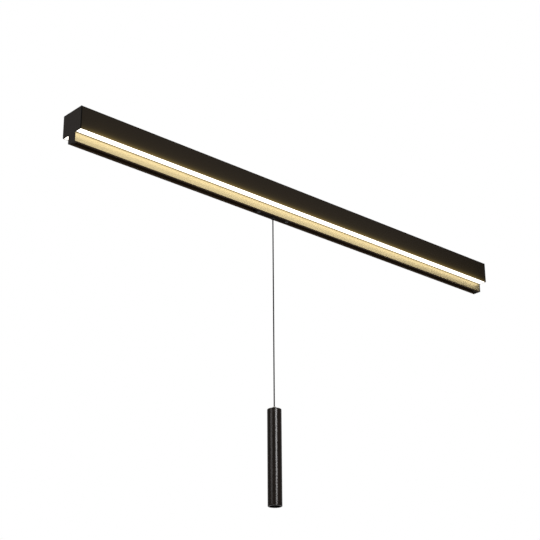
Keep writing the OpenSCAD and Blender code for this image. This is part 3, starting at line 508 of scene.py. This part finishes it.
seat_r = ferrule_r + SEAT_GAP
seat_angle = math.acos(NECK_R / seat_r)
seat = [
    (seat_r * math.cos(seat_angle * k / 6), ball_z - seat_r * math.sin(seat_angle * k / 6))
    for k in range(7)
]
gland = turned(
    "turning_gland", axis_x,
    [
        (MOUTH_R, gland_low), (TIP_R, gland_low), (BODY_R, gland_low + TIP_H),
        *[(BODY_R - depth, gland_low + height) for depth, height in GLAND_GROOVE],
        (BODY_R, gland_high - FLANGE_H), (gland_r, gland_high - FLANGE_H),
        (gland_r, gland_high), (seat_r, gland_high), *seat, (MOUTH_R, gland_low),
    ],
)
take_place(gland, "swivel_gland")

ball = [
    (ferrule_r * math.cos(math.radians(a)), ball_z + ferrule_r * math.sin(math.radians(a)))
    for a in range(-60, 90, 10)
]
ferrule = turned(
    "cable_ferrule", axis_x, [(NECK_W, ferrule_low), *ball, (BALL_TOP_R, ferrule_high)],
    sides=48,
)
take_place(ferrule, "ball_ferrule")

nipple = turned(
    "nickel_nipple", axis_x,
    [
        (STEM_R, nipple_low), (STEM_R, cap_high), (nipple_r, cap_high),
        *[(nipple_r - depth, cap_high + height) for depth, height in NIPPLE_GROOVE],
        (nipple_r, nipple_high - TAPER_H), (TAPER_R, nipple_high),
    ],
    width=0.12 * MM, sides=64,
)
take_place(nipple, "cable_nipple")

# %% [markdown]
# Finishes. Every material starts from its real stuff. Three helpers keep the cells short. linear
# turns a colour as a screen shows it into the linear numbers that a renderer adds up. add_node
# adds a node with its settings and its links. grained builds a whole finish: image textures
# could do that too, but a noise with its size in millimetres stays sharp at any distance.

# %% Material helpers


def linear(colour):
    """Linear RGBA of an sRGB hex colour."""
    channels = [int(colour[i : i + 2], 16) / 255 for i in (1, 3, 5)]
    return [c / 12.92 if c <= 0.04045 else ((c + 0.055) / 1.055) ** 2.4 for c in channels] + [1.0]


def add_node(tree, kind, inputs=None, **settings):
    """Adds a node. An input is a value, or the output that feeds it."""
    new = tree.nodes.new(kind)
    for name, value in settings.items():
        setattr(new, name, value)
    for name, value in (inputs or {}).items():
        if isinstance(value, bpy.types.NodeSocket):
            tree.links.new(value, new.inputs[name])
        else:
            new.inputs[name].default_value = value
    return new


def grained(name, dark, light, roughness, grain, bump=0.0, stretch=(1, 1, 1), shader=None):
    """A finish whose colour, gloss and relief follow one grain, its size given in millimetres.

    Returns the material and its shader node, so that a cell can add what is special.
    """
    material = bpy.data.materials.new(name)
    material.use_nodes = True
    tree = material.node_tree
    tree.nodes.clear()
    place = add_node(tree, "ShaderNodeTexCoord")
    turned_place = add_node(
        tree, "ShaderNodeMapping", {"Vector": place.outputs["Object"], "Scale": stretch}
    )
    noise = add_node(
        tree, "ShaderNodeTexNoise",
        {"Vector": turned_place.outputs["Vector"], "Scale": 1 / (grain * MM), "Detail": 3.0},
    )
    spread = add_node(
        tree, "ShaderNodeMapRange",
        {"Value": noise.outputs["Fac"], "From Min": 0.3, "From Max": 0.7},
    )
    shade = add_node(
        tree, "ShaderNodeMix", {0: spread.outputs["Result"], 6: linear(dark), 7: linear(light)},
        data_type="RGBA",
    )
    gloss = add_node(
        tree, "ShaderNodeMapRange",
        {"Value": spread.outputs["Result"], "To Min": roughness[0], "To Max": roughness[1]},
    )
    surface = add_node(
        tree, "ShaderNodeBsdfPrincipled",
        {"Base Color": shade.outputs[2], "Roughness": gloss.outputs["Result"], **(shader or {})},
    )
    if bump:
        relief = add_node(
            tree, "ShaderNodeBump",
            {"Height": noise.outputs["Fac"], "Strength": 1.0, "Distance": bump * MM},
        )
        tree.links.new(relief.outputs["Normal"], surface.inputs["Normal"])
    add_node(tree, "ShaderNodeOutputMaterial", {"Surface": surface.outputs["BSDF"]})
    print("finish", name)
    return material, surface


FINISH = {}

# %% [markdown]
# The bar's powder coat is a fine matt black with a trace of brown. Its orange peel is a few
# tenths of a millimetre wide, too fine for this view, so it is drawn 1.5 mm wide. A warm glow of
# the strips' light is painted onto the side beside them. Most of it fades within a few
# millimetres up the side, and a faint rest reaches half way up. A glare filter over the finished
# picture would draw that too, but it is no part of the model, so the coat glows there by itself:
# two painted emissions that fall off with the height over the box's lower edge. The strips stop
# at the end caps, so the painted glow fades there too.

# %% Powder coat with a painted glow beside the strips
SPILLS = ((0.19, 3.4 * MM), (0.018, 18 * MM))
END_FADE = 45 * MM
END_SHARE = 0.35

coat, coat_surface = grained(
    "powder_coated_aluminium", "#1f1b16", "#2b251f", (0.5, 0.62), 1.5, 0.02,
    shader={"Specular IOR Level": 0.02, "Emission Color": linear("#ffd97c")},
)
tree = coat.node_tree
place = add_node(tree, "ShaderNodeTexCoord")
axes = add_node(tree, "ShaderNodeSeparateXYZ", {"Vector": place.outputs["Object"]})
over_edge = add_node(
    tree, "ShaderNodeMath", {0: axes.outputs["Z"], 1: BOX_UNDER - NEAR}, operation="SUBTRACT"
)
on_box = add_node(
    tree, "ShaderNodeMath", {0: over_edge.outputs["Value"], 1: 0.0}, operation="GREATER_THAN"
)
spill = 0.0
for strength, reach in SPILLS:
    fade = add_node(
        tree, "ShaderNodeMath", {0: over_edge.outputs["Value"], 1: -reach}, operation="DIVIDE"
    )
    falloff = add_node(tree, "ShaderNodeMath", {0: fade.outputs["Value"]}, operation="EXPONENT")
    spill = add_node(
        tree, "ShaderNodeMath", {0: falloff.outputs["Value"], 1: strength, 2: spill},
        operation="MULTIPLY_ADD",
    ).outputs["Value"]
along = add_node(tree, "ShaderNodeMath", {0: axes.outputs["X"]}, operation="ABSOLUTE")
end_fade = add_node(
    tree, "ShaderNodeMapRange",
    {
        "Value": along.outputs["Value"], "From Min": box_high.x - END_FADE,
        "From Max": box_high.x, "To Min": 1.0, "To Max": END_SHARE,
    },
)
on_side = add_node(
    tree, "ShaderNodeMath", {0: spill, 1: on_box.outputs["Value"]}, operation="MULTIPLY"
)
level = add_node(
    tree, "ShaderNodeMath", {0: on_side.outputs["Value"], 1: end_fade.outputs["Result"]},
    operation="MULTIPLY",
)
# The painted glow beside the strips drives the coat's emission
tree.links.new(level.outputs["Value"], coat_surface.inputs["Emission Strength"])
FINISH["profile_black"] = coat

# Painted shade: the rounded top and end edges and the seam get a darker black than the coat, with
# no orange peel
painted_edge_shade, _ = grained(
    "thin_coat_on_edges", "#0b0908", "#110e0c", (0.5, 0.6), 1.5,
    shader={"Specular IOR Level": 0.02},
)

# The rib's underside and the track are masked off and stay dead black
track_black, _ = grained(
    "black_anodised_track", "#2c2117", "#34281c", (0.7, 0.8), 2.0, 0.02,
    shader={"Specular IOR Level": 0.04},
)
bar.data.materials.clear()
bar.data.materials.append(coat)
bar.data.materials.append(track_black)
bar.data.materials.append(painted_edge_shade)

FLAT = 0.985
SIDEWAYS = 0.9


def on_rounding(face):
    """True for the narrow faces of the top and end edges' roundings."""
    slanted = max(abs(v) for v in face.normal) < FLAT
    outer = abs(face.center.y) > BOX_HALF - CORNER
    top = face.center.z > box_high.z - CORNER
    end = abs(face.center.x) > box_high.x - SEAM
    return slanted and (top and (outer or end) or outer and end)


# Painted shade: the faces of the top and end roundings take the darker black
for face in bar.data.polygons:
    in_track = face.center.z < BOX_UNDER - 0.5 * MM and abs(face.center.y) < RIB_HALF
    face.material_index = 1 if in_track else 2 if on_rounding(face) else 0

# %% [markdown]
# The end caps are moulded ABS. They are a little lighter than the bar, because moulded plastic
# scatters more light at its skin than powder coat does. Only their faces are textured; their rims
# and rounded edges are painted darker, as painted shade along the outline and in the seam. One
# material could darken towards the rims with a mask; two materials, chosen face by face, give the
# same clean line with less to set.

# %% End caps
moulded_abs, _ = grained(
    "moulded_abs", "#262220", "#2c2825", (0.5, 0.6), 1.2, 0.015,
    shader={"Specular IOR Level": 0.03},
)
FINISH["cap_black"] = moulded_abs
for cap in caps:
    cap.data.materials.clear()
    cap.data.materials.append(moulded_abs)
    cap.data.materials.append(painted_edge_shade)
    # Painted shade: the rims and the roundings take the darker black
    for face in cap.data.polygons:
        on_rim = abs(face.normal.y) > SIDEWAYS and near(abs(face.center.y), BOX_HALF)
        face.material_index = int(on_rim or on_rounding(face))

# %% [markdown]
# The strips are opal acrylic over LEDs. Lit opal shows as one even white field with a trace of
# warmth. It dims a little along its outer edge, where the light comes from further away, and
# over the two millimetres beside the rib it fades almost to dark, because the black lip there
# keeps the light off. The strips are real lamps here: their emission lights the gold plates, so
# the plates' shading from bright to dim comes by itself.

# %% Opal strips
STRIP_LEVEL = 2.3
opal, opal_surface = grained(
    "opal_acrylic", "#f4f1ea", "#fbf9f4", (0.3, 0.4), 6.0,
    shader={
        "Specular IOR Level": 0.3, "Emission Strength": STRIP_LEVEL,
        "Emission Color": linear("#fff8ec"),
    },
)
strip_low, strip_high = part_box("diffuser_rear")
STRIP_DIM = 0.04
DIM_FROM = 3.7 * MM
DIM_TO = 1.5 * MM
RIM_SHARE = 0.3
RIM_W = 1.5 * MM
tree = opal.node_tree
place = add_node(tree, "ShaderNodeTexCoord")
axes = add_node(tree, "ShaderNodeSeparateXYZ", {"Vector": place.outputs["Object"]})
across = add_node(tree, "ShaderNodeMath", {0: axes.outputs["Y"]}, operation="ABSOLUTE")
from_rib = add_node(
    tree, "ShaderNodeMath", {0: across.outputs["Value"], 1: strip_low.y}, operation="SUBTRACT"
)
glow = add_node(
    tree, "ShaderNodeMapRange",
    {
        "Value": from_rib.outputs["Value"], "From Min": DIM_TO, "From Max": DIM_FROM,
        "To Min": STRIP_DIM * STRIP_LEVEL, "To Max": STRIP_LEVEL,
    },
)
outer_rim = add_node(
    tree, "ShaderNodeMapRange",
    {
        "Value": across.outputs["Value"], "From Min": strip_high.y - RIM_W,
        "From Max": strip_high.y, "To Min": 1.0, "To Max": RIM_SHARE,
    },
)
strip_glow = add_node(
    tree, "ShaderNodeMath", {0: glow.outputs["Result"], 1: outer_rim.outputs["Result"]},
    operation="MULTIPLY",
)
tree.links.new(strip_glow.outputs["Value"], opal_surface.inputs["Emission Strength"])
FINISH["opal_diffuser"] = opal

# %% [markdown]
# The plates are aluminium in a champagne gold anodise. The sheet is brushed along its length
# before it is dyed, so the grain is stretched along X. Real lines are a tenth of a millimetre
# wide; they are drawn 1 mm wide to show at all, and faint, because from a step away the plate
# reads as one smooth sheet.

# %% Gold anodised plates
FINISH["gold_anodised"], _ = grained(
    "champagne_anodised_aluminium", "#b3a57e", "#b9ab84", (0.44, 0.48), 1.0, 0.002,
    stretch=(0.01, 1, 1), shader={"Metallic": 0.75, "Specular IOR Level": 0.3},
)

# %% [markdown]
# The tube is turned aluminium under gloss black lacquer. Lacquer levels out to a mirror with a
# very faint waviness, so its detail is in the long reflections of two lamps, not in a pattern.
# The baffle in its mouth is moulded in the same gloss black, and the lens above it is clear.

# %% Lacquer, baffle and lens
FINISH["tube_black"], _ = grained(
    "black_lacquered_aluminium", "#17120f", "#1d1713", (0.21, 0.23), 25.0, 0.002,
    shader={"Specular IOR Level": 0.03},
)
FINISH["baffle_black"], _ = grained(
    "gloss_black_polycarbonate", "#0b0908", "#110e0c", (0.18, 0.26), 3.0, 0.004,
    shader={"Specular IOR Level": 0.1},
)
FINISH["lens_glass"], _ = grained(
    "moulded_clear_acrylic", "#e6eaec", "#f2f5f6", (0.03, 0.06), 5.0, 0.002,
    shader={"Transmission Weight": 1.0, "IOR": 1.49},
)

# %% [markdown]
# The cable has a dark grey PVC jacket over a fine steel core. Extruded PVC is smooth with faint
# drag lines along it. A plain colour would do from a step away; the grain is stretched along Z so
# that the lines also show close up.

# %% Cable jacket
FINISH["cable_grey"], _ = grained(
    "grey_pvc_jacket", "#171716", "#20201f", (0.45, 0.55), 0.5, 0.01, stretch=(1, 1, 0.1),
    shader={"Specular IOR Level": 0.03},
)

# %% [markdown]
# What is left are the fittings, and what only shows from above, from straight below or inside.
# Each is a plain trade finish: plated and cast metals, moulded plastics, boards and leads. Each
# could have a cell of its own, but they differ only in their numbers, so they stand in tables:
# slot, name, the two shades that the grain runs between, gloss, grain in millimetres, relief in
# millimetres, and a stretch for what is rolled or drawn.

# %% Metals
EVEN = (1, 1, 1)
ALONG_X = (0.05, 1, 1)
ALONG_Z = (1, 1, 0.05)

for slot, name, dark, light, gloss, grain, relief, stretch in (
    ("nickel", "satin_nickel", "#6f6c68", "#787571", (0.24, 0.28), 0.6, 0.001, EVEN),
    ("zinc_steel", "zinc_plated_steel", "#9aa0a6", "#b9bec2", (0.3, 0.45), 4.0, 0.004, EVEN),
    ("spring_steel", "drawn_spring_steel", "#8e8f92", "#a6a8aa", (0.25, 0.35), 0.4, 0.002, EVEN),
    ("cam_zinc", "die_cast_zinc", "#6a6b6d", "#7c7d7f", (0.4, 0.52), 0.9, 0.01, EVEN),
    ("screw_black", "blackened_steel", "#1c1c1d", "#2a2a2b", (0.35, 0.45), 0.5, 0.004, EVEN),
    ("copper", "rolled_copper", "#b3683f", "#c77b4f", (0.28, 0.4), 0.8, 0.003, ALONG_X),
    ("contact_gold", "gilt_brass", "#c79a45", "#d8ad58", (0.2, 0.3), 0.5, 0.002, EVEN),
    (
        "sink_aluminium", "mill_finish_aluminium", "#a3a6a9", "#b8babc", (0.35, 0.45), 0.7,
        0.004, ALONG_Z,
    ),
):
    FINISH[slot], _ = grained(
        name, dark, light, gloss, grain, relief, stretch, shader={"Metallic": 1.0}
    )

# %% [markdown]
# Plastics, rubber, boards and leads come next. A matt black moulding throws back less light at
# its skin than a glossy one, so the last number of each row says how much it mirrors. The
# shader's usual share is 0.5, which white and coloured plastics keep. The track's liner has a
# call of its own, because it alone is drawn out along the bar.

# %% Plastics, rubber and boards
USUAL = 0.5

FINISH["liner_grey"], _ = grained(
    "extruded_rigid_pvc", "#161618", "#1d1d1f", (0.5, 0.6), 1.0, 0.006, ALONG_X,
    shader={"Specular IOR Level": 0.1},
)
for slot, name, dark, light, gloss, grain, relief, mirror in (
    ("adapter_black", "glass_filled_nylon", "#0f0b07", "#15100b", (0.6, 0.75), 0.8, 0.01, 0.01),
    ("gland_black", "black_acetal", "#0e0d0c", "#161412", (0.35, 0.45), 1.0, 0.004, 0.15),
    ("rubber_black", "moulded_rubber", "#141414", "#1d1d1d", (0.7, 0.85), 0.6, 0.02, 0.2),
    ("white_plastic", "white_polyamide", "#dcdad4", "#e6e4df", (0.4, 0.5), 1.5, 0.006, USUAL),
    ("white_board", "white_solder_mask", "#dfe1dd", "#eceeea", (0.25, 0.35), 2.0, 0.003, USUAL),
    ("circuit_green", "green_solder_mask", "#12482a", "#1b5a36", (0.2, 0.3), 2.5, 0.004, USUAL),
    ("component_black", "moulded_epoxy", "#1f1f21", "#2b2b2d", (0.3, 0.42), 1.0, 0.006, USUAL),
    ("led_phosphor", "phosphor_silicone", "#e9cf5f", "#f2dc7c", (0.3, 0.4), 0.6, 0.004, USUAL),
    ("lead_brown", "brown_pvc_lead", "#5c3a20", "#6b4527", (0.35, 0.45), 0.8, 0.004, USUAL),
    ("lead_red", "red_pvc_lead", "#9c1d14", "#ad281c", (0.35, 0.45), 0.8, 0.004, USUAL),
    ("lead_white", "white_pvc_lead", "#d8d8d4", "#e4e4e0", (0.35, 0.45), 0.8, 0.004, USUAL),
):
    FINISH[slot], _ = grained(
        name, dark, light, gloss, grain, relief, shader={"Specular IOR Level": mirror}
    )

# %% [markdown]
# Now the finishes go on. On the real light each piece comes with its own finish. Here every CAD
# node has a slot in the record that says which one it takes, so a loop can give it to all of
# them, and to the pieces that stand for them. The bar and its caps are left out, because they
# have two or three finishes each and got them above.

# %% Put the finishes on
for piece in bpy.data.objects:
    if piece.type not in ("MESH", "CURVE") or piece in (bar, *caps):
        continue
    slot = piece.get("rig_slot") or SLOT_OF.get(piece.name)
    piece.data.materials.clear()
    piece.data.materials.append(FINISH[slot])
print(len(FINISH), "finishes")

# %% [markdown]
# The studio is plain: a white world, a pale floor far below and soft light. A picture of a real
# studio could be wrapped round the scene instead, but for a black lamp on white two plain
# colours do the same and stay easy to change. The world shows white to the camera, in
# reflections and through the lens, and lights the surfaces a little dimmer. The floor is lifted
# a little for the camera, so that it runs into the white behind it and still keeps a shadow.

# %% World and floor
WORLD_LIGHT = 0.8
FLOOR_Z = -4.2
FLOOR_SIZE = 22
FLOOR_LIFT = 0.24

world = bpy.data.worlds.new("white_studio")
bpy.context.scene.world = world
world.use_nodes = True
sky = world.node_tree
sky.nodes.clear()
rays = add_node(sky, "ShaderNodeLightPath")
seen = add_node(
    sky, "ShaderNodeMath",
    {0: rays.outputs["Is Camera Ray"], 1: rays.outputs["Is Glossy Ray"]}, operation="MAXIMUM",
)
shown = add_node(
    sky, "ShaderNodeMath",
    {0: seen.outputs["Value"], 1: rays.outputs["Is Transmission Ray"]}, operation="MAXIMUM",
)
strength = add_node(
    sky, "ShaderNodeMapRange",
    {"Value": shown.outputs["Value"], "To Min": WORLD_LIGHT, "To Max": 1.0},
)
white = add_node(
    sky, "ShaderNodeBackground",
    {"Color": (1.0, 1.0, 1.0, 1.0), "Strength": strength.outputs["Result"]},
)
add_node(sky, "ShaderNodeOutputWorld", {"Surface": white.outputs["Background"]})

bpy.ops.object.select_all(action="DESELECT")
bpy.ops.mesh.primitive_plane_add(size=FLOOR_SIZE, location=(0, 0, FLOOR_Z))
floor = bpy.context.object
floor.name = "studio_floor"
pale, pale_surface = grained(
    "pale_vinyl_floor", "#efeeeb", "#f4f3f1", (0.6, 0.7), 60.0,
    shader={"Specular IOR Level": 0.1, "Emission Color": (1.0, 1.0, 1.0, 1.0)},
)
floor_rays = add_node(pale.node_tree, "ShaderNodeLightPath")
floor_lift = add_node(
    pale.node_tree, "ShaderNodeMath",
    {0: floor_rays.outputs["Is Camera Ray"], 1: FLOOR_LIFT}, operation="MULTIPLY",
)
pale.node_tree.links.new(
    floor_lift.outputs["Value"], pale_surface.inputs["Emission Strength"]
)
floor.data.materials.append(pale)
print("floor at", FLOOR_Z, "m")

# %% [markdown]
# Past the bar's far end stands a black card, as a photographer puts one there: it takes the
# white away on that side, so the side face gets darker towards the end and the gold plate's last
# centimetres dim. The coat could be painted darker there instead, but the paint would show from
# every side. The card is turned to the front, so that the end cap keeps its light, and the
# camera doesn't see the card itself.

# %% Black card
CARD_SIZE = 0.32
CARD_PLACE = (0.7, -0.19, 0)
CARD_TURN = math.radians(45)

bpy.ops.object.select_all(action="DESELECT")
bpy.ops.mesh.primitive_plane_add(
    size=CARD_SIZE, location=CARD_PLACE, rotation=(math.radians(90), 0, CARD_TURN)
)
card = bpy.context.object
card.name = "black_card"
card.visible_camera = False
velvet, _ = grained(
    "black_velvet", "#030303", "#060606", (0.9, 1.0), 1.0, shader={"Specular IOR Level": 0.0}
)
card.data.materials.append(velvet)
print("card", CARD_SIZE, "m square")

# %% [markdown]
# Of the four lamps two are large and soft and light the whole object. Two smaller ones, left and
# right of the camera's line, only draw the long highlights on the lacquer. Point lamps would be
# simpler, but a tube mirrors a point as a thin hair, and a rectangle as a band. Light linking
# keeps the two small lamps off every other piece.

# %% Lamps


def lamp(name, place, target, size, watts, matt=True):
    """A rectangular lamp aimed at a point; one that isn't matt only makes highlights."""
    bpy.ops.object.light_add(type="AREA", location=place)
    made = bpy.context.object
    made.name = name
    made.data.shape = "RECTANGLE"
    made.data.size, made.data.size_y = size
    made.data.energy = watts
    made.rotation_euler = (Vector(target) - Vector(place)).to_track_quat("-Z", "Y").to_euler()
    made.visible_camera = False
    made.visible_diffuse = matt
    return made


lamp("soft_front", (-1.2, -3.2, -0.6), (0, 0, -0.1), (2.4, 1.6), 26)
lamp("soft_top", (0.3, 0.6, 2.2), (0, 0, 0), (2.0, 2.0), 22)
lacquered = bpy.data.collections.new("lacquered")
for piece in (tube, top_cap, baffle):
    lacquered.objects.link(piece)
for name, place, size, watts in (
    ("highlight_right", (-0.43, -1.46, 0.0), (0.52, 0.7), 180),
    ("highlight_left", (-1.57, 0.06, 0.0), (0.8, 0.7), 36),
):
    strip_lamp = lamp(name, place, (axis_x, 0, -0.1), size, watts, matt=False)
    strip_lamp.light_linking.receiver_collection = lacquered
bpy.context.scene.view_settings.view_transform = "Standard"
print("studio ready")
